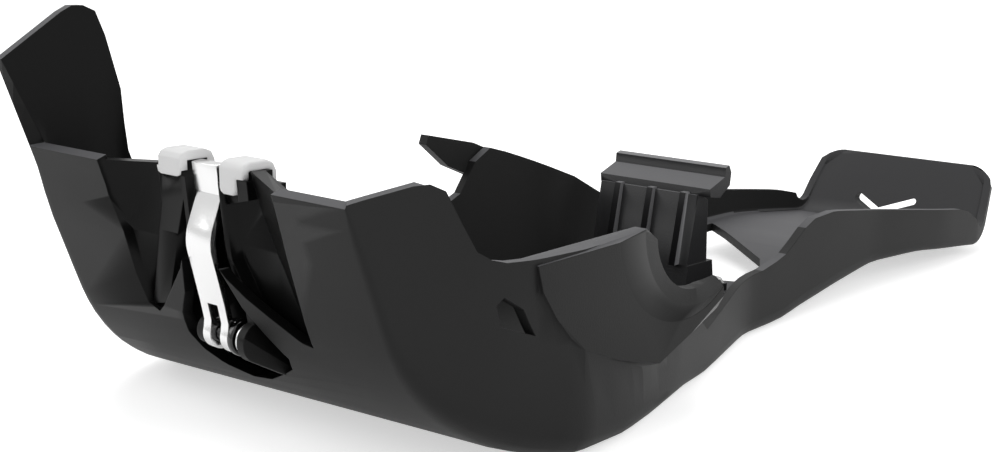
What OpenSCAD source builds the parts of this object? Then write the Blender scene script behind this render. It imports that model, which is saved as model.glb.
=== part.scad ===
// Skid plate for an off-road motorcycle: a moulded guard that wraps the front of the engine,
// runs flat under it and ends in a narrow link guard with an upturned tail.
// X runs rearwards, Y to the bike's right, Z up, with the flat belly on Z = 0.

/* [Guard overall] */
// Distance from the front rim to the top edge of the tail plate
guard_len = 604; // [580:1:630]
// Height of the front panel's rim above the belly
rim_h = 116; // [110:1:122]
// Wall thickness of the moulding
wall = 5; // [4:0.5:6]
// Angle of the front panel from the horizontal
front_angle = 70; // [67:1:73]
// Outer radius between front panel and belly at the near crease
near_r = 100; // [92:1:104]
// Outer radius between front panel and belly at the far crease
far_r = 70; // [62:1:84]
// How far the front panel bows forwards towards the far crease
far_bow = 3; // [0:0.5:4]
// Radius of the belly's rounded long edges
bilge_r = 20; // [14:1:24]

/* [Widths] */
// Half width of the flat front panel between its two creases
panel_half = 105; // [102:1:107]
// Half width of the belly at its widest
belly_half = 132; // [129:1:135]
// Half width of the link guard
link_half = 71; // [68:1:74]
// Half width of the tail plate's top edge
tail_half = 51; // [48:1:56]

/* [Sides] */
// Height of the side walls beside the engine
side_h = 88; // [84:1:91]
// Height of the near wing's peak
near_wing_h = 123; // [120:1:127]
// Height of the tall far wing's peak
far_wing_h = 178; // [168:1:186]
// Height of the link guard's walls at their highest
link_h = 53; // [48:1:57]
// Height of the tail plate's top edge above the belly
tail_h = 47.5; // [45:0.5:50]
// Angle of the tail plate from the horizontal
tail_angle = 58; // [52:1:64]

/* [Near lobe] */
// Distance of the near lobe's outer face from the middle
lobe_y = 129.5; // [128:0.5:132]
// Depth of the lobe from its outer face to the notch's inner edge
lobe_t = 13; // [11:0.5:15]
// Radius of the notch at its inner edge
notch_r = 29; // [26:0.5:31]
// Radius of the notch at the outer face
notch_out_r = 45; // [42:0.5:47]

/* [Latch] */
// Diameter of the latch pin
pin_d = 8; // [7:0.5:9]
// Running clearance round the pin, on the radius
pin_clear = 0.06; // [0.04:0.01:0.1]
// Width of the lever strap
strap_w = 16.4; // [15:0.2:17]
// Thickness of the lever strap
strap_t = 3; // [2.6:0.1:3.4]
// Height of the pin above the belly
pin_z = 45; // [43:0.5:47]
// Outer radius of the lever's eyes round the pin
eye_r = 7.2; // [6.4:0.1:7.6]
// Free width between the two posts
slot_w = 22; // [20:0.5:24]
// Width of each post's head
post_w = 17; // [15:0.5:19]
// Thickness of the rubber pads
pad_t = 4; // [3:0.5:5]

/* [Rear hook] */
// Width of the rear hook's ledge
hook_w = 76; // [70:1:82]
// Height of the ledge's front edge above the belly
hook_h = 70; // [66:1:74]
// Number of upright ribs on the hook's front face
hook_ribs = 3; // [2:1:4]
// Diameter of the two bolts that hold the hook
bolt_d = 6; // [5:0.5:6]

/* [Hidden] */
eps = 0.01;

// Driving places along the guard
front_x = -guard_len / 2;
tail_x = guard_len / 2;
foot_x = front_x + rim_h / tan(front_angle);
pin_x = -276;

// Front radius across the width, from the near crease to the far crease
function radius_at(y) = look([[-panel_half, near_r], [panel_half, far_r]], y);
function bow_at(y) = look([[-panel_half, 0], [panel_half, far_bow]], y);
function line_x(z) = foot_x - z / tan(front_angle);

// Linear look-up and its softened form
function seg(t, x, i = 0) = i >= len(t) - 2 || x < t[i + 1][0]
    ? t[i][1] + (t[i + 1][1] - t[i][1]) * (x - t[i][0]) / (t[i + 1][0] - t[i][0])
    : seg(t, x, i + 1);
function look(t, x) = seg(t, min(max(x, t[0][0]), t[len(t) - 1][0]));
function soft(t, x, s) = (look(t, x - s) + 2 * look(t, x) + look(t, x + s)) / 4;

// Upturned tail plate
tail_r = 22;
tail_low_z = 5;
tail_arc_z = tail_low_z + tail_r * (1 - cos(tail_angle));
tail_arc_x = tail_x - (tail_h - tail_arc_z) / tan(tail_angle);
tail_start_x = tail_arc_x - tail_r * sin(tail_angle);

// Underside of belly and link guard, [x, z]
keel = [[front_x, 0], [38, 0], [68, 4], [104, 9], [140, 14], [190, 13], [tail_start_x, tail_low_z]];
function keel_z(x) = soft(keel, x, 8);
function keel_slope(x) = atan((keel_z(x + 1) - keel_z(x - 1)) / 2);

// Half width of the hull's upper outline, [x, y]
outline = [[front_x, panel_half], [-265, 118], [-226, belly_half - 3], [-199, belly_half],
           [-164, belly_half - 6], [-137, belly_half - 13], [-84, 102], [-44, 89],
           [0, link_half + 3], [60, link_half], [140, link_half - 3], [215, link_half + 1],
           [tail_start_x, link_half - 1], [tail_arc_x, link_half - 4], [tail_x - 4, link_half - 8], [tail_x, tail_half]];
function half_w(x) = x > tail_start_x ? look(outline, x) : soft(outline, x, 6);

// Half width of the floor's corner, [x, y]: two creases that flare out low down
crease = [[front_x, panel_half], [-286, panel_half + 0.8], [-277, panel_half + 1.4], [-268, panel_half + 3.5],
          [-263, panel_half + 5], [-250, panel_half + 10], [-235, panel_half + 15],
          [-215, belly_half - 5], [-199, belly_half]];
function corner_w(x) = x < -199 ? look(crease, x) : half_w(x);
function corner_r(x) = look([[front_x, 3], [-282, 4], [-255, 12], [-220, bilge_r], [-190, 14], [-165, 9],
                             [60, 9], [tail_start_x, 8], [tail_arc_x, 2], [tail_x, 1.5]], x);

// Height of the near rim, [x, z]
near_rim = [[front_x, rim_h + 1.5], [-272, near_wing_h], [-264, near_wing_h - 4], [-259, 110],
            [-256, 99], [-249, 92], [-240, side_h + 1], [-150, side_h - 2], [-128, 60], [-102, 51],
            [-68, 22], [-46, 26], [-18, 31], [20, 33], [40, 38], [52, 45], [64, link_h - 1],
            [90, link_h], [240, 32], [tail_start_x - 6, 27]];
// Height of the far rim behind the far wing, [x, z]
far_rim = [[-253, 98], [-200, 76], [-120, 60], [-62, 55], [-52, 58], [-46, 66], [-36, 88], [-20, 83],
           [28, 64], [62, 45], [90, 42], [150, 40], [180, 35.5], [240, 27], [tail_start_x - 6, 24]];
// Far wing from its front tip round to its rear foot, [share, x, z]
wing = [[0, front_x - 14, 156], [0.3, -283, far_wing_h - 2], [0.36, -277, far_wing_h],
        [0.44, -268, far_wing_h - 3], [0.5, -263, 163], [0.62, -255.5, 136], [0.7, -254.5, 112],
        [0.8, -248, 98], [1, -200, 76]];
wing_w = [[front_x - 20, panel_half], [-255, panel_half + 1], [-249, panel_half + 3], [-240, 113],
          [-226, 122], [-199, belly_half]];
function pair(t, u) = [seg([for (p = t) [p[0], p[1]]], u), seg([for (p = t) [p[0], p[2]]], u)];

bow_drop = 28;
n_line = 6;
n_arc = 12;
n_front = n_line + n_arc;
n_tail = 5;
n_plate = 3;
belly_xs = [for (x = [-184 : 9 : 20]) x];
link_xs = [for (x = [28 : 10 : tail_start_x - 6]) x];
rest_xs = concat(belly_xs, link_xs);
n_rest = len(rest_xs);
n_all = n_front + 1 + n_rest + n_tail + 1 + n_plate;

// Outer line of the guard at station i and across-place y, as [x, z, slope]
function spine(i, y) = i <= n_front ? let (s = front_line(i, radius_at(y)))
        [s[0] - bow_at(y) * pow(min(1, (rim_h - s[1]) / bow_drop), 2), s[1], s[2]]
    : i <= n_front + n_rest ? let (x = rest_xs[i - n_front - 1]) [x, keel_z(x), keel_slope(x)]
    : tail_line(i - n_front - n_rest - 1);
function front_line(i, r) = i < n_line
    ? let (z = rim_h + (r * (1 - cos(front_angle)) - rim_h) * i / n_line) [line_x(z), z, -front_angle]
    : let (a = front_angle * (1 - (i - n_line) / n_arc), mid = foot_x + r * tan(front_angle / 2))
      [mid - r * sin(a), r * (1 - cos(a)), -a];
function tail_line(k) = k <= n_tail
    ? let (a = tail_angle * k / n_tail) [tail_start_x + tail_r * sin(a), tail_low_z + tail_r * (1 - cos(a)), a]
    : let (u = (k - n_tail) / n_plate)
      [tail_arc_x + (tail_x - tail_arc_x) * u, tail_arc_z + (tail_h - tail_arc_z) * u, tail_angle];
function inset(s, t) = [s[0] - sin(s[2]) * t, s[1] + cos(s[2]) * t];

// The rims at station i for a face that lies t behind the outer one
lip = [17, 14, 11, 8.5, 7, 6.2, 6, 6, 6];
function tail_lip(i, s) = inset(s, lip[i - n_front - n_rest - 1]);
function rim_near(i, t) = let (s = spine(i, -panel_half), u = i / n_front)
    i <= n_front ? let (x = front_x + (-189 - front_x) * u + t * (1 - u)) [x, look(near_rim, x)]
    : i <= n_front + n_rest ? [s[0], look(near_rim, s[0])] : tail_lip(i, s);
function rim_far(i, t) = let (s = spine(i, panel_half), u = i / n_front)
    i <= n_front ? pair(wing, u)
    : i <= n_front + n_rest ? [s[0], look(far_rim, s[0])] : tail_lip(i, s);
near_tuck = [[-228, 0], [-205, 3.4], [-164, 4.4], [-130, 3], [-110, 0]];
function rim_w(i, sgn, x) = sgn > 0 && i <= n_front ? look(wing_w, x)
    : sgn < 0 ? half_w(x) - look(near_tuck, x) : half_w(x);

wall_fs = [1, 0.72, 0.45, 0.2];
corner_ts = [0, 0.25, 0.5, 0.75, 1];
floor_us = [0.75, 0.25, -0.25, -0.75];

// One side's wall and corner from the rim down; sgn is -1 near and 1 far
function side(i, sgn, t) = let (
    c = corner_w(spine(i, sgn * panel_half)[0]) - t,
    p = inset(spine(i, sgn * min(c, panel_half)), t),
    rim = sgn < 0 ? rim_near(i, t) : rim_far(i, t),
    top_w = rim_w(i, sgn, rim[0]) - t,
    d = rim - p, l = norm(d), r = min(max(corner_r(p[0]) - t, 0.8), l * 0.2),
    f0 = r / l,
    foot = [p[0] + d[0] * f0, c + (top_w - c) * f0, p[1] + d[1] * f0],
    inner = [p[0], c - r, p[1]],
    mid = [p[0], c, p[1]])
    [for (v = concat([for (f = wall_fs) let (g = f0 + (1 - f0) * f)
                          [p[0] + d[0] * g, c + (top_w - c) * g, p[1] + d[1] * g]],
                     [for (u = corner_ts) (1 - u) * (1 - u) * foot + 2 * u * (1 - u) * mid + u * u * inner]))
        [v[0], sgn * v[1], v[2]]];
function back(v) = [for (i = [len(v) - 1 : -1 : 0]) v[i]];
function floor_pt(i, y, t) = let (q = inset(spine(i, y), t)) [q[0], y, q[1]];
function section(i, t) = let (
    near = side(i, -1, t), far = side(i, 1, t),
    a = near[len(near) - 1][1], b = far[len(far) - 1][1])
    concat(near, [for (u = floor_us) floor_pt(i, (a + b) / 2 - (b - a) / 2 * u, t)], back(far));

// A closed thick sheet between two stacks of sections with the same layout
module thick_sheet(outer, inner) {
    m = len(outer);
    n = len(outer[0]);
    o = m * n;
    function at(i, j) = i * n + j;
    function quad(a, b, c, d) = [[a, b, c], [a, c, d]];
    faces = concat(
        [for (i = [0 : m - 2], j = [0 : n - 2], q = quad(at(i, j), at(i + 1, j), at(i + 1, j + 1), at(i, j + 1))) q],
        [for (i = [0 : m - 2], j = [0 : n - 2],
              q = quad(o + at(i, j), o + at(i, j + 1), o + at(i + 1, j + 1), o + at(i + 1, j))) q],
        [for (i = [0 : m - 2], q = quad(at(i, 0), o + at(i, 0), o + at(i + 1, 0), at(i + 1, 0))) q],
        [for (i = [0 : m - 2], q = quad(at(i, n - 1), at(i + 1, n - 1), o + at(i + 1, n - 1), o + at(i, n - 1))) q],
        [for (j = [0 : n - 2], q = quad(at(0, j), at(0, j + 1), o + at(0, j + 1), o + at(0, j))) q],
        [for (j = [0 : n - 2],
              q = quad(at(m - 1, j), o + at(m - 1, j), o + at(m - 1, j + 1), at(m - 1, j + 1))) q]);
    polyhedron(points = concat([for (r = outer, v = r) v], [for (r = inner, v = r) v]), faces = faces);
}

// Prism along X of an outline given as [y, z]
module along_x(pts, x0, x1) {
    translate([x0, 0, 0])
        rotate([90, 0, 90])
            linear_extrude(x1 - x0)
                polygon(pts);
}
// Prism along Y of an outline given as [x, z]
module along_y(pts, y0, y1) {
    translate([0, y1, 0])
        rotate([90, 0, 0])
            linear_extrude(y1 - y0)
                polygon(pts);
}
function mirrored(pts) = back([for (p = pts) [-p[0], p[1]]]);

// Latch recess: window in the front panel, as [y, z]
recess_far = [[52, 140], [52, 100], [49, 84], [52, 64], [51, 50], [45, 47], [39, 51], [15.2, 73]];
recess_near = [[-64, 140], [-63, 112], [-57, 50], [-51, 51], [-24, 66], [-15.2, 73]];
pocket_edge = [[0, 90], [12.3, 77], [19, 61], [27, 50], [30, 40], [27, 31], [20, 24], [8, 20], [-6, 22],
               [-20, 28], [-32, 34], [-35, 40], [-28, 50], [-19, 61], [-12.3, 77]];
window = concat(recess_far, [for (i = [1 : len(pocket_edge) - 1]) pocket_edge[i]], back(recess_near));
recess_wall_t = 4;
wall_top_z = 102;
post_face = [[-288, 122], [-287, 112], [-284.5, 86], [-278, 50]];
head_x = [-284, -274];
head_top = 118;
cheek_y = 16.5;
far_cheek_y = 9;
near_boss_r = 8.6;
far_boss_r = 6.4;
ridge = [21, -17];
near_deep = 6.4;
pin_near = -19;
pin_far = 12.6;
back_line = [[-265, 102], [-260, 60], [-254, 40], [-246, 24], [-236, 12]];

// Space behind the posts' common front face and in front of the recess's back wall
module post_space() {
    rear = [for (p = back_line) [p[0] + 1.2, p[1]]];
    along_y(concat(post_face, [[-271.5, 40], [-266, 32], [-257, 24], [-243, 10]], back(rear),
                   [[head_x[1], 106], [head_x[1], 122]]), -80, 80);
}
module back_wall_band() {
    along_y(concat(back_line, back([for (p = back_line) [p[0] + recess_wall_t, p[1] + 1]])), -80, 80);
}

// Leaning face between the panel's edge and the recess, both given as [x, y, z] from the bottom up
module recess_side(edge, post) {
    thick_sheet([for (k = [0 : len(edge) - 1]) [edge[k], post[k]]],
                [for (k = [0 : len(edge) - 1]) [edge[k] + side_back, post[k] + side_back]]);
}
side_back = [5, 3, 0];
far_edge = [[-274.2, 54.2, 45.2], [-288.6, 52, 84.3], [front_x + 2.2, 54, 115.6]];
far_post = [[-276.7, 42.7, 45.6], [-283.3, 29, 95.3], [-286.5, 31, 115.4]];
near_edge = [[-273.5, 60, 46], [-288.2, 63.2, 84], [-293.8, 64.3, 100], [front_x + 2.2, 65, 115.6]];
near_post = [[-271.8, 50, 49.5], [-277.4, 36, 84], [-279.2, 29.5, 100], [-285.6, 30.5, 119]];

module pin_boss(y0, y1, r) {
    translate([pin_x, y1, pin_z])
        rotate([90, 0, 0])
            cylinder(h = y1 - y0, r = r, $fn = 48);
}
module recess_parts() {
    far_leg = [[slot_w / 2 + 2, head_top], [slot_w / 2 + 2 + post_w, head_top], [30, 98], [36, 82], [51, 49],
               [38, 52], [22, 84], [slot_w / 2 + 2, 104]];
    near_leg = [[slot_w / 2, 112], [30.5, 112], [30, 100], [37, 84], [51.5, 50.5], [46, 44], [18, 59],
                [slot_w / 2, 70]];
    near_head = [[slot_w / 2 + 2, head_top], [slot_w / 2 + 2 + post_w, head_top], [30, 107], [slot_w / 2 + 2, 103]];
    near_cheek = [[slot_w / 2, 112], [slot_w / 2 + 3, 112], [slot_w / 2 + 3, 80], [cheek_y + 4.5, 64],
                  [cheek_y + 4.5, 33], [cheek_y, 31], [cheek_y, 62], [slot_w / 2, 80]];
    far_cheek = [[slot_w / 2, 112], [slot_w / 2 + 3, 112], [slot_w / 2 + 3, 80], [far_cheek_y + 4.5, 64],
                 [far_cheek_y + 4.5, 33], [far_cheek_y, 31], [far_cheek_y, 62], [slot_w / 2, 80]];
    intersection() {
        union() {
            along_x(far_leg, -300, -230);
            along_x(mirrored(near_head), -300, -230);
            along_x(far_cheek, -300, -230);
            along_x(mirrored(near_cheek), -300, -230);
        }
        post_space();
    }
    intersection() {
        along_x(mirrored(near_leg), -300, -230);
        translate([near_deep, 0, 0])
            post_space();
    }
    hull() {
        pin_boss(-cheek_y - 4.4, -cheek_y, near_boss_r);
        translate([ridge[0], 0, ridge[1]])
            pin_boss(-cheek_y - 7, -cheek_y, 4);
    }
    pin_boss(far_cheek_y, far_cheek_y + 4.4, far_boss_r);
    intersection() {
        back_wall_band();
        along_x([[-68, 10], [-68, wall_top_z], [60, wall_top_z], [60, 10]], -300, -200);
    }
    recess_side(far_edge, far_post);
    mirror([0, 1, 0])
        recess_side(near_edge, near_post);
}

// Near lobe with its flared, leaning notch
lobe_face = [[-226, 86], [-223, 75], [-215, 63], [-206, 53], [-197, 46], [-174, 37], [-148, 30],
             [-125, 39], [-102, 51], [-103, 64], [-150, 88]];
lobe_back = [[-222, 86], [-216, 60], [-200, 42], [-150, 26], [-110, 36], [-90, 41], [-86, 46],
             [-93, 59], [-150, 88]];
module lobe() {
    hull() {
        along_y(lobe_face, -lobe_y, -lobe_y + 1);
        along_y(lobe_back, -lobe_y + lobe_t - 1, -lobe_y + lobe_t);
    }
    hull() {
        along_y(lobe_back, -lobe_y + lobe_t - 1, -lobe_y + lobe_t);
        along_y([[-222, 84], [-205, 42], [-150, 26], [-100, 34], [-84, 45], [-150, 84]], -112, -110);
    }
}
module notch_disc(x, z, r, y) {
    translate([x, y, z])
        rotate([90, 0, 0])
            cylinder(h = 0.2, r = r, center = true, $fn = 72);
}
module notch() {
    hull() {
        notch_disc(-134, 91.5, notch_out_r + 1, -lobe_y - 1);
        notch_disc(-113, 87, 38.5, -lobe_y + 6);
    }
    hull() {
        notch_disc(-113, 87, 38.5, -lobe_y + 6);
        notch_disc(-105, 82, notch_r, -lobe_y + lobe_t);
    }
    hull() {
        notch_disc(-105, 82, notch_r, -lobe_y + lobe_t);
        notch_disc(-97, 82, notch_r, -90);
    }
}

// Far arm that hooks forwards over the far notch
arm = [[-73, 92], [-71, 97], [-36, 89], [-7, 77], [22, 65], [10, 40], [-30, 50], [-28, 66], [-56, 78]];
module far_arm() {
    along_y(arm, 88, 94);
}

// Openings through the floor and the tail
rear_hole = [[70, -36], [104, -12], [151, 56], [60, 52], [52, 30]];
drain = [[-242, 72], [-239, 63], [-223, 57], [-230, 69], [-239, 75]];
vee = [[25, 21.5], [9.5, 14.5], [-15, 23.5]];
module slot_x(a, b, r) {
    hull()
        for (p = [a, b])
            translate([tail_arc_x - 30, p[0], p[1]])
                rotate([0, 90, 0])
                    cylinder(h = 80, r = r, $fn = 32);
}

// Rounded ribs moulded on the floor, each from [x, y, z] to [x, y, z]
module rib(a, b, ra, rb) {
    hull() {
        translate(a)
            sphere(r = ra, $fn = 24);
        translate(b)
            sphere(r = rb, $fn = 24);
    }
}
module floor_ribs() {
    rib([-40, -54, 5], [30, -52, 9], 2, 7);
    rib([30, -52, 9], [96, -52, 24], 7, 8);
    rib([96, -52, 24], [128, -56, 28], 8, 4);
    rib([-120, 30, 5], [-60, 66, 8], 2, 5);
}

// Seat and bosses for the rear hook
seat_z = 8;
seat = [-6, 50];
foot_near = -27;
foot_far = 45;
bolt_x = 44;
bolt_ys = [-22, 30];

module skid_shell() {
    color("#2b2b2b")
        difference() {
            union() {
                difference() {
                    thick_sheet([for (i = [0 : n_all - 1]) section(i, 0)], [for (i = [0 : n_all - 1]) section(i, wall)]);
                    along_x(window, front_x - 40, -246);
                }
                recess_parts();
                lobe();
                far_arm();
                floor_ribs();
                translate([seat[0], foot_near - 3, 2])
                    cube([seat[1] - seat[0], foot_far - foot_near + 6, seat_z - 2]);
            }
            notch();
            along_y(drain, -150, -110);
            translate([0, 0, -20])
                linear_extrude(50)
                    polygon(rear_hole);
            slot_x(vee[0], vee[1], 2.8);
            slot_x(vee[1], vee[2], 2);
            pad_left();
            pad_right();
            translate([pin_x, pin_far + 0.3, pin_z])
                rotate([90, 0, 0])
                    cylinder(h = pin_far - pin_near + 0.6, d = pin_d + 2 * pin_clear, $fn = 64);
            for (y = bolt_ys)
                translate([bolt_x, y, -10])
                    cylinder(h = 40, d = bolt_d - 0.2, $fn = 48);
        }
}

// Rear hook that catches the frame's cross member
hook_mid = 4;
hook_front = [[8, 9], [11, 28], [19, 66]];
module hook_bracket() {
    color("#3a3a3a")
        translate([0, hook_mid, 0])
            difference() {
                union() {
                    along_y([[12, 28], [19.5, 66], [24, 66], [30, 62], [30, 28]], foot_near - hook_mid + 1,
                            hook_w / 2 - 1.5);
                    along_y([[9, 12], [12, 28], [34, 28], [36, 12]], foot_near - hook_mid, foot_far - hook_mid);
                    along_y([[seat[0] + 10, seat_z], [seat[0] + 10, 12], [seat[1] - 1, 12], [seat[1] - 1, seat_z]],
                            foot_near - hook_mid, foot_far - hook_mid);
                    along_y([[21, 65.5], [20.5, hook_h], [34, hook_h + 5], [34.5, 80], [38, 81], [40, 77], [39, 70],
                             [30, 64]], -hook_w / 2, hook_w / 2);
                    for (k = [0 : hook_ribs - 1])
                        translate([0, (k - (hook_ribs - 1) / 2) * 22.5, 0])
                            along_y([[8, 28], [17, 67], [22, 67], [22, 28]], -2, 2);
                }
                along_y([[20, 8.5 + 4], [24, 60], [28, 58], [60, 12.5]], foot_near - hook_mid + 6, -2);
                along_y([[20, 8.5 + 4], [24, 60], [28, 58], [60, 12.5]], 2, hook_w / 2 - 5);
                for (y = bolt_ys)
                    translate([bolt_x, y - hook_mid, 0])
                        cylinder(h = 30, d = bolt_d + 0.4, $fn = 48);
            }
}

// Two button-headed bolts through the hook's foot
module bracket_bolts() {
    color("#8c8c8c")
        for (y = bolt_ys)
            translate([bolt_x, y, 12])
                difference() {
                    union() {
                        cylinder(h = 3.2, r1 = 5.6, r2 = 3.8, $fn = 48);
                        translate([0, 0, -10])
                            cylinder(h = 10 + eps, d = bolt_d - 0.2, $fn = 48);
                    }
                    translate([0, 0, 1.6])
                        cylinder(h = 4, d = 3.6, $fn = 6);
                }
}

// Lever: middle line of the strap as [x, z], from the tab down to the eyes
strap = [[-282.4, 117], [-281.4, 106.5], [-289.4, 87], [-286, 74], [-282.6, 60], [-280.5, 50]];
function unit(v) = v / norm(v);
function side_dir(i) = let (n = len(strap),
    a = i == 0 ? unit(strap[1] - strap[0]) : unit(strap[i] - strap[i - 1]),
    b = i == n - 1 ? a : unit(strap[i + 1] - strap[i]), m = unit(a + b))
    [-m[1], m[0]] / (m * a);
function strap_band(t) = concat([for (i = [0 : len(strap) - 1]) strap[i] + side_dir(i) * t / 2],
                                back([for (i = [0 : len(strap) - 1]) strap[i] - side_dir(i) * t / 2]));
module latch_lever() {
    color("#c8c8c8")
        difference() {
            union() {
                along_y(strap_band(strap_t), -strap_w / 2, strap_w / 2);
                along_y([[-285.4, 118.4], [-284.4, 106], [-279.6, 107], [-280.6, 119]], -strap_w / 2, strap_w / 2);
                translate([pin_x, 0, pin_z])
                    rotate([90, 0, 0])
                        cylinder(h = strap_w, r = eye_r, center = true, $fn = 64);
                along_y([[-282.2, 52], [-283, pin_z], [pin_x, pin_z], [-277.5, 51]], -strap_w / 2, strap_w / 2);
            }
            translate([pin_x, 0, pin_z])
                rotate([90, 0, 0])
                    cylinder(h = strap_w + 2, r = pin_d / 2 + pin_clear, center = true, $fn = 64);
            translate([-300, -3.4, pin_z - 12])
                cube([40, 6.8, 26]);
        }
}

// Pin with a round collar beside the lever
module latch_pin() {
    color("#0c0c0c")
        translate([pin_x, 0, pin_z])
            rotate([90, 0, 0]) {
                translate([0, 0, -pin_far])
                    cylinder(h = pin_far - pin_near, d = pin_d, $fn = 64);
                translate([0, 0, strap_w / 2 + 0.3])
                    cylinder(h = 3.4, r = 7.8, $fn = 64);
            }
}
module pin_clip() {
    color("#d0d0d0")
        translate([pin_x, -strap_w / 2 - 5.2, pin_z])
            rotate([90, 0, 0])
                difference() {
                    cylinder(h = 1, r = pin_d / 2 + 3, $fn = 48);
                    translate([0, 0, -1])
                        cylinder(h = 3, d = pin_d, $fn = 48);
                    translate([-2.4, -10, -1])
                        cube([4.8, 10, 3]);
                }
}

// Rubber saddle over a post's head, with a front leg from leg_y[0] to leg_y[1] down to leg_z
module pad(y0, leg_y, leg_z) {
    x0 = head_x[0] - pad_t;
    x1 = head_x[1];
    top = head_top;
    c = 2.5;
    color("#d2d2d2") {
        difference() {
            along_y([[x0, pad_low], [x0, top + 1], [x0 + 1.5, top + pad_t - 0.9], [x0 + 4.4, top + pad_t],
                     [x1 + pad_t - 5, top + pad_t], [x1 + pad_t - 1.6, top + pad_t - 1.5],
                     [x1 + pad_t, top + pad_t - 5], [x1 + pad_t, pad_low - 3]], y0, y0 + post_w);
            along_y([[x0 + pad_t, 100], [x0 + pad_t, top], [x1, top], [x1, 100]], y0 - 1, y0 + post_w + 1);
        }
        along_x([[leg_y[0], pad_low + eps], [leg_y[1], pad_low + eps], [leg_y[1], leg_z + c],
                 [leg_y[1] - 0.3 * c, leg_z + 0.3 * c], [leg_y[1] - c, leg_z], [leg_y[0] + c, leg_z],
                 [leg_y[0] + 0.3 * c, leg_z + 0.3 * c], [leg_y[0], leg_z + c]], x0, x0 + pad_t);
    }
}
pad_low = 115;
module pad_left() {
    pad(-slot_w / 2 - 2 - post_w, [-23.5, -slot_w / 2 - 2], 103.5);
}
module pad_right() {
    pad(slot_w / 2 + 2, [slot_w / 2 + 2, slot_w / 2 + post_w + 1], 111.5);
}

skid_shell();
hook_bracket();
latch_lever();
latch_pin();
pin_clip();
pad_left();
pad_right();
bracket_bolts();
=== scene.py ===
"""Studio view of a moulded skid plate with its plastics, steel latch and rubber saddles.

Each visible piece is a dressed copy of one node of the fixed frame. Names that end with _mm are millimetres.
"""

import logging
import math
from dataclasses import dataclass, field
from enum import Enum, IntEnum

import bpy
from mathutils import Matrix, Vector
from mathutils.bvhtree import BVHTree


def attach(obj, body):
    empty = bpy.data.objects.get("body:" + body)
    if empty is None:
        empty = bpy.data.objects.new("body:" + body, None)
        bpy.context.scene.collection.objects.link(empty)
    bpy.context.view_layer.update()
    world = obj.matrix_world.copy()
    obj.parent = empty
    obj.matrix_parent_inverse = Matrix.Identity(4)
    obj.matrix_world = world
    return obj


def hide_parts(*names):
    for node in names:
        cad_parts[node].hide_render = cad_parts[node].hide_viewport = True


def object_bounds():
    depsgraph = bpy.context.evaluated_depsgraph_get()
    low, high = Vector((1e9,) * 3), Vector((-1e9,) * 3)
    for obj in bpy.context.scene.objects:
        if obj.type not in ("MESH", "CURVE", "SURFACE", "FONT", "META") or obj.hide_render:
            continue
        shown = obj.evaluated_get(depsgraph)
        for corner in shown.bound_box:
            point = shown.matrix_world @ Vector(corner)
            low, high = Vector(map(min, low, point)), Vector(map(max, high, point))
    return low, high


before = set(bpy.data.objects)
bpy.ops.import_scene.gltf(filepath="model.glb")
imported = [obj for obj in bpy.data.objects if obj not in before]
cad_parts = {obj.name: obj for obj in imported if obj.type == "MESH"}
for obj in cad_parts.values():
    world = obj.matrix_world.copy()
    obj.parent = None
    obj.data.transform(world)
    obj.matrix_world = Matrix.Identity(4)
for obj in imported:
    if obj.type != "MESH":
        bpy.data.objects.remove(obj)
CAD_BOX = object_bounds()

MM = 0.001
log = logging.getLogger("skid_plate")

# The camera comes from a pinhole fit to the creases and rims in the photograph.
PHOTO_WIDTH_PX = 1000
FOCAL_PX = 1577.0
SENSOR_MM = 36.0
CAMERA_AT_MM = (-666.0, -519.0, 226.0)
CAMERA_AZIMUTH_DEG = -47.04
CAMERA_ELEVATION_DEG = 11.93
CAMERA_NEAR_M = 0.01

# Merging of the CAD meshes, and the ray that looks for the shell's skin from ahead.
WELD_MM = 0.002
FLAT_DEG = 0.4
RAY_START_M = -1.0

# Patterns of the finishes. The clouds are the patches, some 55 mm wide, that handling leaves on a surface.
EDGE_SAMPLES = 6
GRAIN_HEIGHT_MM = 0.1
GRAIN_DETAIL = 2.0
CLOUDS_PER_M = 18.0
CLOUD_DETAIL = 3.0
ROUGHNESS_SPREAD = 0.05
ROLLING_HEIGHT_MM = 0.05
ROLLING_STRETCH = 12.0
ROLLING_DETAIL = 3.0
STRAP_EDGE_MM = 0.4


class Body(Enum):
    """The two bodies of the frame that pieces ride on."""

    GUARD = "guard"
    LEVER = "lever"


class Slot(Enum):
    """The record's material slots."""

    SHELL = "shell_plastic"
    HOOK = "hook_plastic"
    LEVER = "lever_steel"
    PIN = "pin_black"
    CLIP = "clip_steel"
    PAD = "pad_rubber"
    BOLT = "bolt_steel"


def srgb(code: str) -> tuple[float, float, float, float]:
    """Turns an sRGB hex code into the linear colour that a shader socket takes.

    Args:
        code: six hex digits, such as "2b2b2b".

    Returns:
        The linear colour with an alpha of 1.
    """
    channels = [int(code[i : i + 2], 16) / 255 for i in (0, 2, 4)]
    linear = [c / 12.92 if c <= 0.04045 else ((c + 0.055) / 1.055) ** 2.4 for c in channels]
    return (*linear, 1.0)


def add_node(
    tree: bpy.types.NodeTree, kind: str, settings: dict[str, object] | None = None, **inputs: object
) -> bpy.types.Node:
    """Adds one node with its settings, values and links.

    Args:
        tree: the node tree that gets the node.
        kind: Blender's name of the node type.
        settings: attributes of the node itself.
        inputs: values or output sockets by input name, with underscores for spaces.

    Returns:
        The new node.
    """
    node = tree.nodes.new(kind)
    for name, value in (settings or {}).items():
        setattr(node, name, value)
    for name, value in inputs.items():
        socket = node.inputs[name.replace("_", " ")]
        if isinstance(value, bpy.types.NodeSocket):
            tree.links.new(value, socket)
        else:
            socket.default_value = value
    return node


def deselect_all() -> None:
    """Leaves nothing selected, so that an operator acts only on what is picked next."""
    for other in bpy.context.selected_objects:
        other.select_set(False)


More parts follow.
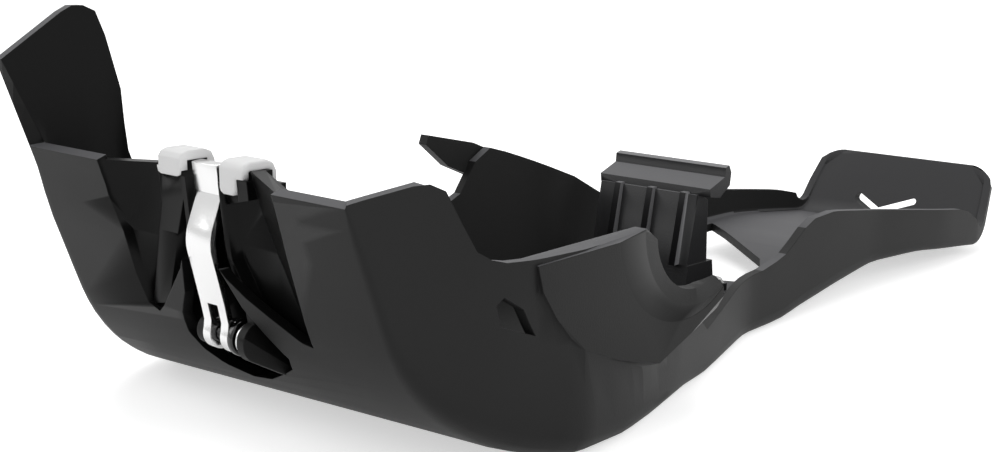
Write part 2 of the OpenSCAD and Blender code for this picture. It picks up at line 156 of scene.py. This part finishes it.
def pick(obj: bpy.types.Object) -> None:
    """Makes one object the only selected and the active one.

    Args:
        obj: the object to pick.
    """
    deselect_all()
    obj.select_set(True)
    bpy.context.view_layer.objects.active = obj


@dataclass(frozen=True)
class GrainedPlastic:
    """Moulded or lacquered surface; its grain breaks up the highlights.

    The colour is sRGB hex, and the grain's depth is a share of GRAIN_HEIGHT_MM.
    """

    name: str
    colour: str
    roughness: float
    grain_mm: float
    grain_depth: float
    edge_mm: float
    gloss: float = 0.2

    def build(self) -> bpy.types.Material:
        """Builds the node tree.

        Returns:
            The finished material.
        """
        material = bpy.data.materials.new(self.name)
        material.use_nodes = True
        tree = material.node_tree
        tree.nodes.clear()
        place = add_node(tree, "ShaderNodeTexCoord").outputs["Object"]
        grain = add_node(
            tree, "ShaderNodeTexNoise", Vector=place, Scale=1 / (self.grain_mm * MM), Detail=GRAIN_DETAIL,
        )
        cloud = add_node(
            tree, "ShaderNodeTexNoise", Vector=place, Scale=CLOUDS_PER_M, Detail=CLOUD_DETAIL,
        )
        rounded = add_node(tree, "ShaderNodeBevel", {"samples": EDGE_SAMPLES}, Radius=self.edge_mm * MM)
        bump = add_node(
            tree, "ShaderNodeBump", Strength=self.grain_depth, Distance=GRAIN_HEIGHT_MM * MM,
            Height=grain.outputs["Fac"], Normal=rounded.outputs["Normal"],
        )
        rough = add_node(tree, "ShaderNodeMapRange", Value=cloud.outputs["Fac"])
        rough.inputs["To Min"].default_value = self.roughness - ROUGHNESS_SPREAD
        rough.inputs["To Max"].default_value = self.roughness + ROUGHNESS_SPREAD
        surface = add_node(
            tree, "ShaderNodeBsdfPrincipled", Base_Color=srgb(self.colour),
            Roughness=rough.outputs["Result"], Normal=bump.outputs["Normal"], Specular_IOR_Level=self.gloss,
        )
        add_node(tree, "ShaderNodeOutputMaterial", Surface=surface.outputs["BSDF"])
        return material


@dataclass(frozen=True)
class RolledSteel:
    """Steel with a fine rolling grain along X and Z; bright, with stretched highlights.

    The colour is sRGB hex, and the grain's depth is a share of ROLLING_HEIGHT_MM.
    """

    name: str
    colour: str
    roughness: float
    grain_mm: float
    grain_depth: float

    def build(self) -> bpy.types.Material:
        """Builds the node tree.

        Returns:
            The finished material.
        """
        material = bpy.data.materials.new(self.name)
        material.use_nodes = True
        tree = material.node_tree
        tree.nodes.clear()
        place = add_node(tree, "ShaderNodeTexCoord").outputs["Object"]
        stretched = add_node(tree, "ShaderNodeMapping", Vector=place, Scale=(1.0, ROLLING_STRETCH, 1.0))
        grain = add_node(
            tree, "ShaderNodeTexNoise", Vector=stretched.outputs["Vector"],
            Scale=1 / (self.grain_mm * MM), Detail=ROLLING_DETAIL,
        )
        rounded = add_node(tree, "ShaderNodeBevel", {"samples": EDGE_SAMPLES}, Radius=STRAP_EDGE_MM * MM)
        bump = add_node(
            tree, "ShaderNodeBump", Strength=self.grain_depth, Distance=ROLLING_HEIGHT_MM * MM,
            Height=grain.outputs["Fac"], Normal=rounded.outputs["Normal"],
        )
        surface = add_node(
            tree, "ShaderNodeBsdfPrincipled", Base_Color=srgb(self.colour), Metallic=1.0,
            Roughness=self.roughness, Normal=bump.outputs["Normal"],
        )
        add_node(tree, "ShaderNodeOutputMaterial", Surface=surface.outputs["BSDF"])
        return material


@dataclass
class DressedNode:
    """A CAD node shown as a merged copy with softened edges and its real finish."""

    node: str
    piece: str
    body: Body
    slot: Slot
    finish: GrainedPlastic | RolledSteel
    edge_mm: float = 0.0
    smooth_deg: float = 30.0
    segments: int = 2

    def build(self) -> bpy.types.Object:
        """Copies, merges, rounds and dresses the node.

        Returns:
            The piece that stands for the node.
        """
        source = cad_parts[self.node]
        piece = bpy.data.objects.new(self.piece, source.data.copy())
        piece.data.materials.clear()
        bpy.context.scene.collection.objects.link(piece)
        pick(piece)
        bpy.ops.object.mode_set(mode="EDIT")
        bpy.ops.mesh.select_all(action="SELECT")
        bpy.ops.mesh.remove_doubles(threshold=WELD_MM * MM)
        bpy.ops.mesh.dissolve_limited(angle_limit=math.radians(FLAT_DEG))
        bpy.ops.object.mode_set(mode="OBJECT")
        self.rework(piece)
        if self.edge_mm:
            soft = piece.modifiers.new("edge", "BEVEL")
            soft.width = self.edge_mm * MM
            soft.segments = self.segments
            soft.limit_method = "ANGLE"
            soft.angle_limit = math.radians(self.smooth_deg)
            soft.use_clamp_overlap = True
            bpy.ops.object.modifier_apply(modifier=soft.name)
        bpy.ops.object.shade_smooth_by_angle(angle=math.radians(self.smooth_deg))
        piece.data.materials.append(self.finish.build())
        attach(piece, self.body.value)
        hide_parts(self.node)
        self.finish_parts(piece)
        log.info("%s: %d faces", self.piece, len(piece.data.polygons))
        return piece

    def rework(self, piece: bpy.types.Object) -> None:
        """Reshapes the merged copy; a plain node keeps its shape."""

    def finish_parts(self, piece: bpy.types.Object) -> None:
        """Gives parts of the piece a finish of their own; a plain node has one finish."""


class ShellFinish(IntEnum):
    """The finishes of the guard's moulding, in the order of its material slots."""

    GRAINED = 0
    # Polished, with painted shade: a darker colour in the recess, the wing's inside and the notch's flare.
    POLISHED = 1
    # Painted highlight: a lighter grey on the upward rims and the link guard's floor.
    TRIMMED = 2
    # A coarser grain, with painted light: a lighter grey on the tail plate's upward face.
    COARSE = 3


@dataclass
class MouldedShell(DressedNode):
    """The guard's moulding, with a finish for each region of its tool.

    It is grained outside. The recess, the wing's inside and the notch's flare are polished and carry painted
    shade, a darker colour; the upward rims and the link guard's floor carry a painted highlight, a lighter
    grey; the tail plate's upward face has a coarser grain and painted light, a lighter grey. The regions end
    on creases of the moulding. Limits with _up, _back, _in or _side are on a component of a face's normal.
    """

    # Extra finishes: a darker one that paints shade, a lighter one that paints highlights, and one that
    # paints light on the tail.
    polished_shade: GrainedPlastic | None = None
    painted_highlight: GrainedPlastic | None = None
    coarse_lit: GrainedPlastic | None = None
    panel_y_mm: float = 98.0
    probe_z_mm: float = 100.0
    probe_step_mm: float = 10.0
    recess_depth_mm: float = 1.2
    recess_x_mm: float = -150.0
    pocket_x_mm: float = -235.0
    wing_x_mm: float = -205.0
    wall_y_mm: float = 60.0
    floor_z_mm: float = 40.0
    rim_z_mm: float = 58.0
    link_rim_z_mm: float = 19.0
    link_x_mm: tuple[float, float] = (60.0, 270.0)
    link_y_mm: float = 42.0
    link_floor_mm: tuple[float, float] = (20.0, 230.0)
    flare_x_mm: tuple[float, float] = (-178.0, -100.0)
    flare_y_mm: tuple[float, float] = (-129.45, -121.5)
    plate_x_mm: float = 215.0
    plate_top_mm: tuple[float, float] = (294.0, 44.0)
    plate_deg: float = 58.0
    corner_y_mm: tuple[float, float] = (46.5, 63.3)
    corner_drop_mm: float = 8.5
    floor_up: float = 0.6
    recess_back: float = 0.35
    wing_in: float = 0.3
    flare_side: tuple[float, float] = (-0.975, -0.2)
    rim_up: float = 0.5
    link_rim_up: float = 0.3
    plate_up: float = 0.25
    plate_back: float = 0.1

    def rework(self, piece: bpy.types.Object) -> None:
        """Rounds the tail plate's upper corners by sliding its top row down along the plate.

        Args:
            piece: the merged copy of the shell.
        """
        lean = Vector((math.cos(math.radians(self.plate_deg)), 0, math.sin(math.radians(self.plate_deg))))
        inner, outer = self.corner_y_mm
        for vertex in piece.data.vertices:
            place = vertex.co / MM
            if place.x < self.plate_top_mm[0] or place.z < self.plate_top_mm[1]:
                continue
            share = (abs(place.y) - inner) / (outer - inner)
            if share > 0:
                vertex.co -= lean * (self.corner_drop_mm * MM * min(1.0, share) ** 2)

    def skin_x(self, tree: BVHTree, y: float, z: float) -> float | None:
        """Finds how far forward the outer skin lies beside the recess.

        Args:
            tree: the shell's mesh.
            y: sideways place of the ray, in millimetres.
            z: height of the ray, in millimetres.

        Returns:
            The skin's place along X in millimetres, or None where the ray misses.
        """
        hit = tree.ray_cast(Vector((RAY_START_M, y * MM, z * MM)), Vector((1, 0, 0)))[0]
        return hit.x / MM if hit else None

    def in_recess(self, tree: BVHTree, slope: float, place: Vector, normal: Vector) -> bool:
        """Tells whether a face lies in the latch recess, behind the front panel's skin.

        Args:
            tree: the shell's mesh.
            slope: the skin's lean above the probes' height, in millimetres a millimetre.
            place: the face's middle, in millimetres.
            normal: the face's normal.

        Returns:
            True for a face of the recess.
        """
        if place.x >= self.recess_x_mm or abs(place.y) >= self.panel_y_mm:
            return False
        height = min(place.z, self.probe_z_mm)
        near, far = (self.skin_x(tree, side * self.panel_y_mm, height) for side in (-1, 1))
        if near is None or far is None:
            return False
        share = (place.y / self.panel_y_mm + 1) / 2
        skin = near * (1 - share) + far * share + slope * (place.z - height)
        floor = normal.z > self.floor_up and place.x > self.pocket_x_mm
        return place.x - skin > self.recess_depth_mm and normal.x < self.recess_back and not floor

    def region(self, place: Vector, normal: Vector, recessed: bool) -> ShellFinish:
        """Chooses a face's finish.

        Args:
            place: the face's middle, in millimetres.
            normal: the face's normal.
            recessed: whether the face is in the latch recess.

        Returns:
            The finish of the region that the face is in.
        """
        aside = abs(place.y)
        link = self.link_x_mm[0] < place.x < self.link_x_mm[1] and aside > self.link_y_mm
        flare = (
            self.flare_y_mm[0] < place.y < self.flare_y_mm[1]
            and self.flare_x_mm[0] < place.x < self.flare_x_mm[1]
            and self.flare_side[0] < normal.y < self.flare_side[1]
            and place.z > self.floor_z_mm
        )
        rim = (
            normal.z > (self.link_rim_up if link else self.rim_up)
            and place.z > (self.link_rim_z_mm if link else self.rim_z_mm)
            and (aside > self.wall_y_mm or link)
            and not flare
        )
        link_floor = (
            normal.z > self.floor_up
            and place.z < self.floor_z_mm
            and self.link_floor_mm[0] < place.x < self.link_floor_mm[1]
        )
        wing = (
            place.x < self.wing_x_mm
            and aside > self.wall_y_mm
            and place.y * normal.y < -self.wing_in * aside
        )
        # The tail plate's upward face gets painted light.
        if place.x > self.plate_x_mm and normal.z > self.plate_up and normal.x < self.plate_back:
            return ShellFinish.COARSE
        # Upward rims and the link guard's floor get a painted highlight.
        if link_floor or rim:
            return ShellFinish.TRIMMED
        # The wing's inside, the recess and the notch's flare get painted shade.
        if wing or recessed or flare:
            return ShellFinish.POLISHED
        return ShellFinish.GRAINED

    def finish_parts(self, piece: bpy.types.Object) -> None:
        """Gives each region of the moulding its finish, painted shade and painted light among them.

        Args:
            piece: the dressed shell.
        """
        for finish in (self.polished_shade, self.painted_highlight, self.coarse_lit):
            piece.data.materials.append(finish.build())
        points = [v.co.copy() for v in piece.data.vertices]
        tree = BVHTree.FromPolygons(points, [tuple(p.vertices) for p in piece.data.polygons])
        heights = (self.probe_z_mm, self.probe_z_mm - self.probe_step_mm)
        top, below = (self.skin_x(tree, -self.panel_y_mm, height) for height in heights)
        slope = 0.0 if top is None or below is None else (top - below) / self.probe_step_mm
        for polygon in piece.data.polygons:
            place, normal = polygon.center / MM, polygon.normal
            recessed = self.in_recess(tree, slope, place, normal)
            polygon.material_index = self.region(place, normal, recessed)


@dataclass
class RibbedHook(DressedNode):
    """The rear hook, with painted light: the near sides of its ribs and the top of its ledge are lighter."""

    # A lighter finish that paints light on the ribs' near sides and the ledge's top.
    painted_light: GrainedPlastic | None = None
    rib_z_mm: tuple[float, float] = (24.0, 68.0)
    rib_from_mm: float = -24.0
    ledge_z_mm: float = 64.0
    rib_side: float = -0.7
    ledge_up: float = 0.8

    def finish_parts(self, piece: bpy.types.Object) -> None:
        """Paints light on the ribs' near sides and the top of the ledge with a lighter finish.

        Args:
            piece: the dressed hook.
        """
        painted_light_index = len(piece.data.materials)
        piece.data.materials.append(self.painted_light.build())
        low, high = self.rib_z_mm
        for polygon in piece.data.polygons:
            place, normal = polygon.center / MM, polygon.normal
            # The ribs' sides that face the near side, and the ledge's upward top, get painted light.
            rib = normal.y < self.rib_side and low < place.z < high and place.y > self.rib_from_mm
            ledge = normal.z > self.ledge_up and place.z > self.ledge_z_mm
            if rib or ledge:
                polygon.material_index = painted_light_index


@dataclass
class BentLever(DressedNode):
    """The latch's steel strap, bent with a real radius at its knee."""

    knee_mm: float = 6.0
    knee_segments: int = 6
    knee_z_mm: tuple[float, float] = (80.0, 100.0)
    knee_deg: float = 15.0
    across_mm: float = 12.0
    level_mm: float = 0.5

    def rework(self, piece: bpy.types.Object) -> None:
        """Rounds the edges across the strap where it bends at the knee.

        Args:
            piece: the merged copy of the lever.
        """
        bpy.ops.object.mode_set(mode="EDIT")
        bpy.ops.mesh.select_all(action="DESELECT")
        bpy.ops.mesh.select_mode(type="EDGE")
        bpy.ops.object.mode_set(mode="OBJECT")
        normals: dict[tuple[int, int], list[Vector]] = {}
        for polygon in piece.data.polygons:
            for key in polygon.edge_keys:
                normals.setdefault(key, []).append(polygon.normal)
        low, high = self.knee_z_mm
        for edge in piece.data.edges:
            start, end = (piece.data.vertices[i].co / MM for i in edge.vertices)
            across = abs(start.y - end.y) > self.across_mm and abs(start.z - end.z) < self.level_mm
            sides = normals.get(edge.key, [])
            bent = len(sides) == 2 and sides[0].angle(sides[1], 0) > math.radians(self.knee_deg)
            edge.select = across and bent and low < start.z < high
        bpy.ops.object.mode_set(mode="EDIT")
        bpy.ops.mesh.bevel(offset=self.knee_mm * MM, segments=self.knee_segments, clamp_overlap=True)
        bpy.ops.mesh.select_mode(type="VERT")
        bpy.ops.object.mode_set(mode="OBJECT")


@dataclass
class Saddle(DressedNode):
    """A rubber saddle, drawn in at its outer end and at its leg so that it hugs the post's head."""

    outer_mm: float = 2.0
    leg_mm: float = 4.5
    leg_top_mm: float = 108.0
    end_mm: float = 0.6

    def rework(self, piece: bpy.types.Object) -> None:
        """Moves the outer end and the leg's foot of the merged copy.

        Args:
            piece: the merged copy of the saddle.
        """
        places = [v.co.y / MM for v in piece.data.vertices]
        end = max(places, key=abs)
        side = 1 if end > 0 else -1
        for vertex in piece.data.vertices:
            if vertex.co.z / MM < self.leg_top_mm:
                vertex.co.z += self.leg_mm * MM
            if abs(vertex.co.y / MM - end) < self.end_mm:
                vertex.co.y -= side * self.outer_mm * MM


@dataclass(frozen=True)
class SoftBox:
    """A square soft box that faces the part."""

    name: str
    place_m: tuple[float, float, float]
    side_m: float
    watts: float


# The lamps stand round the part; their powers are matched to the shades in the photograph.
SOFT_BOXES = (
    SoftBox("key_box", (-1.5, -0.9, 2.6), 1.9, 9.0),
    SoftBox("top_box", (0.5, 0.9, 2.7), 2.4, 34.0),
    SoftBox("left_box", (-1.7, 2.0, 1.5), 1.5, 17.0),
    SoftBox("right_box", (0.35, -2.6, 1.7), 1.5, 23.0),
    SoftBox("near_box", (-0.85, -2.9, 0.5), 1.7, 17.0),
)


@dataclass
class Studio:
    """Pale floor, white surroundings, soft boxes and the camera."""

    boxes: tuple[SoftBox, ...] = SOFT_BOXES
    floor_m: float = 12.0
    floor_gap_mm: float = 0.5
    floor_glow: float = 0.55
    world_light: float = 0.45

    def build(self) -> None:
        """Builds the floor, the world, the lamps and the camera."""
        self.floor()
        self.world()
        middle = (Vector(CAD_BOX[0]) + Vector(CAD_BOX[1])) / 2
        for box in self.boxes:
            self.lamp(box, middle)
        self.camera()

    def floor(self) -> None:
        """A pale floor that keeps the object's soft shadow."""
        deselect_all()
        height = CAD_BOX[0][2] - self.floor_gap_mm * MM
        bpy.ops.mesh.primitive_plane_add(size=self.floor_m, location=(0, 0, height))
        plane = bpy.context.active_object
        plane.name = "floor"
        material = bpy.data.materials.new("white_paper")
        material.use_nodes = True
        tree = material.node_tree
        tree.nodes.clear()
        paper = add_node(tree, "ShaderNodeBsdfDiffuse", Color=srgb("f4f4f4"))
        glow = add_node(tree, "ShaderNodeEmission", Color=srgb("ffffff"), Strength=self.floor_glow)
        both = add_node(tree, "ShaderNodeAddShader")
        tree.links.new(paper.outputs["BSDF"], both.inputs[0])
        tree.links.new(glow.outputs["Emission"], both.inputs[1])
        seen = add_node(tree, "ShaderNodeMixShader", Fac=self.seen_rays(tree))
        tree.links.new(paper.outputs["BSDF"], seen.inputs[1])
        tree.links.new(both.outputs["Shader"], seen.inputs[2])
        add_node(tree, "ShaderNodeOutputMaterial", Surface=seen.outputs["Shader"])
        plane.data.materials.append(material)

    def world(self) -> None:
        """White surroundings: plain white to the rays that see them, softer as a light."""
        world = bpy.data.worlds.new("studio")
        bpy.context.scene.world = world
        world.use_nodes = True
        tree = world.node_tree
        tree.nodes.clear()
        light = add_node(tree, "ShaderNodeBackground", Color=srgb("ffffff"), Strength=self.world_light)
        sight = add_node(tree, "ShaderNodeBackground", Color=srgb("ffffff"), Strength=1.0)
        mix = add_node(tree, "ShaderNodeMixShader", Fac=self.seen_rays(tree))
        tree.links.new(light.outputs["Background"], mix.inputs[1])
        tree.links.new(sight.outputs["Background"], mix.inputs[2])
        add_node(tree, "ShaderNodeOutputWorld", Surface=mix.outputs["Shader"])

    def seen_rays(self, tree: bpy.types.NodeTree) -> bpy.types.NodeSocket:
        """Joins the rays that see the white surroundings: camera, glossy and transmission rays.

        Args:
            tree: the node tree that gets the nodes.

        Returns:
            A socket that is 1 for such a ray.
        """
        path = add_node(tree, "ShaderNodeLightPath").outputs
        either = path["Is Camera Ray"]
        for other in ("Is Glossy Ray", "Is Transmission Ray"):
            node = add_node(tree, "ShaderNodeMath", {"operation": "MAXIMUM"})
            tree.links.new(either, node.inputs[0])
            tree.links.new(path[other], node.inputs[1])
            either = node.outputs["Value"]
        return either

    def lamp(self, box: SoftBox, target: Vector) -> None:
        """Hangs one soft box.

        Args:
            box: its name, place, side and power.
            target: the point that it faces, in metres.
        """
        data = bpy.data.lights.new(box.name, "AREA")
        data.shape = "SQUARE"
        data.size = box.side_m
        data.energy = box.watts
        lamp = bpy.data.objects.new(box.name, data)
        lamp.location = box.place_m
        lamp.rotation_euler = (target - Vector(box.place_m)).to_track_quat("-Z", "Y").to_euler()
        bpy.context.scene.collection.objects.link(lamp)

    def camera(self) -> None:
        """Sets the camera at the photograph's angle, distance and lens."""
        azimuth, elevation = math.radians(CAMERA_AZIMUTH_DEG), math.radians(CAMERA_ELEVATION_DEG)
        level = math.cos(elevation)
        back = Vector((math.sin(azimuth) * level, -math.cos(azimuth) * level, math.sin(elevation)))
        right = Vector((math.cos(azimuth), math.sin(azimuth), 0))
        up = back.cross(right)
        data = bpy.data.cameras.new("photo_camera")
        data.sensor_width = SENSOR_MM
        data.lens = FOCAL_PX / PHOTO_WIDTH_PX * SENSOR_MM
        data.clip_start = CAMERA_NEAR_M
        camera = bpy.data.objects.new("photo_camera", data)
        turn = Matrix((right, up, back)).transposed().to_4x4()
        camera.matrix_world = Matrix.Translation(Vector(CAMERA_AT_MM) * MM) @ turn
        bpy.context.scene.collection.objects.link(camera)
        bpy.context.scene.camera = camera


@dataclass
class SkidPlate:
    """The whole guard with its latch and its rear hook."""

    pieces: list[DressedNode] = field(default_factory=list)

    def build(self) -> None:
        """Builds every piece in order."""
        # A real grain of 0.1 to 0.3 mm is finer than a pixel, so every grain here is drawn coarser, to show.
        # Moulded polyethylene from a spark-eroded tool: near-black satin, with no sharp reflection.
        shell = GrainedPlastic(
            "grained_polyethylene", "212121", roughness=0.5, grain_mm=0.8, grain_depth=0.6, edge_mm=0.6,
            gloss=0.1,
        )
        # Polished polyethylene: smoother, with a soft sheen; its blacker colour is painted shade in the
        # recess, the wing's inside and the notch's flare.
        polished_shade = GrainedPlastic(
            "polished_polyethylene_painted_shade", "0e0e0e", roughness=0.32, grain_mm=2.5, grain_depth=0.05, edge_mm=0.6,
            gloss=0.09,
        )
        # Painted highlight: mid grey and matt, so that the upward rims and the link guard's floor show as
        # lit.
        painted_highlight = GrainedPlastic(
            "polyethylene_painted_highlight", "525254", roughness=0.55, grain_mm=0.8, grain_depth=0.3, edge_mm=0.4,
            gloss=0.15,
        )
        # Polyethylene with a coarser grain, and painted light: dark grey a shade lighter than the outside, on
        # the tail plate's upward face.
        coarse_lit = GrainedPlastic(
            "coarse_polyethylene_painted_light", "3c3c3d", roughness=0.5, grain_mm=1.2, grain_depth=0.6,
            edge_mm=0.6, gloss=0.12,
        )
        # Moulded polyamide with a deep grain: dark, with a broken sparkle on the hook's ribs.
        hook = GrainedPlastic(
            "coarse_polyamide", "262627", roughness=0.4, grain_mm=1.0, grain_depth=1.0, edge_mm=0.5,
            gloss=0.2,
        )
        # Painted light on the hook: lighter and smoother, so that the ribs' near sides and the ledge's top
        # look lit.
        painted_light = GrainedPlastic(
            "polyamide_painted_light", "666668", roughness=0.35, grain_mm=1.0, grain_depth=0.4, edge_mm=0.4,
            gloss=0.3,
        )
        # Rolled spring steel: the brightest piece, with reflections that streak along the strap.
        steel = RolledSteel("rolled_spring_steel", "d2d2d2", roughness=0.2, grain_mm=0.5, grain_depth=0.2)
        # Zinc-plated steel: a light grey glint on the clip and on the bolts' heads.
        zinc = RolledSteel("zinc_plated_steel", "c8c8c8", roughness=0.25, grain_mm=0.5, grain_depth=0.1)
        # Lacquered steel: glossy black with sharp highlights round the pin's collar.
        black = GrainedPlastic(
            "black_lacquered_steel", "050505", roughness=0.08, grain_mm=2.0, grain_depth=0.0, edge_mm=0.3,
            gloss=0.5,
        )
        # Moulded rubber: pale grey and matt, with soft round edges.
        rubber = GrainedPlastic(
            "light_grey_rubber", "dedede", roughness=0.55, grain_mm=1.2, grain_depth=0.05, edge_mm=0.8,
        )
        self.pieces = [
            MouldedShell(
                "skid_shell", "shell", Body.GUARD, Slot.SHELL, shell,
                polished_shade=polished_shade, painted_highlight=painted_highlight, coarse_lit=coarse_lit,
            ),
            RibbedHook("hook_bracket", "hook", Body.GUARD, Slot.HOOK, hook, painted_light=painted_light),
            BentLever("latch_lever", "lever", Body.LEVER, Slot.LEVER, steel, 0.45),
            DressedNode("latch_pin", "pin", Body.GUARD, Slot.PIN, black, 0.9, segments=3),
            DressedNode("pin_clip", "clip", Body.GUARD, Slot.CLIP, zinc, 0.15),
            Saddle("pad_left", "saddle_left", Body.GUARD, Slot.PAD, rubber, 1.0, segments=3),
            Saddle("pad_right", "saddle_right", Body.GUARD, Slot.PAD, rubber, 1.0, segments=3, leg_mm=0.0),
            DressedNode("bracket_bolts", "hook_bolts", Body.GUARD, Slot.BOLT, zinc, 0.25),
        ]
        for piece in self.pieces:
            piece.build()


def main() -> None:
    """Builds the guard and the studio."""
    logging.basicConfig(level=logging.INFO, format="%(name)s %(message)s")
    bpy.context.scene.view_settings.view_transform = "Standard"
    SkidPlate().build()
    Studio().build()


if __name__ == "__main__":
    main()
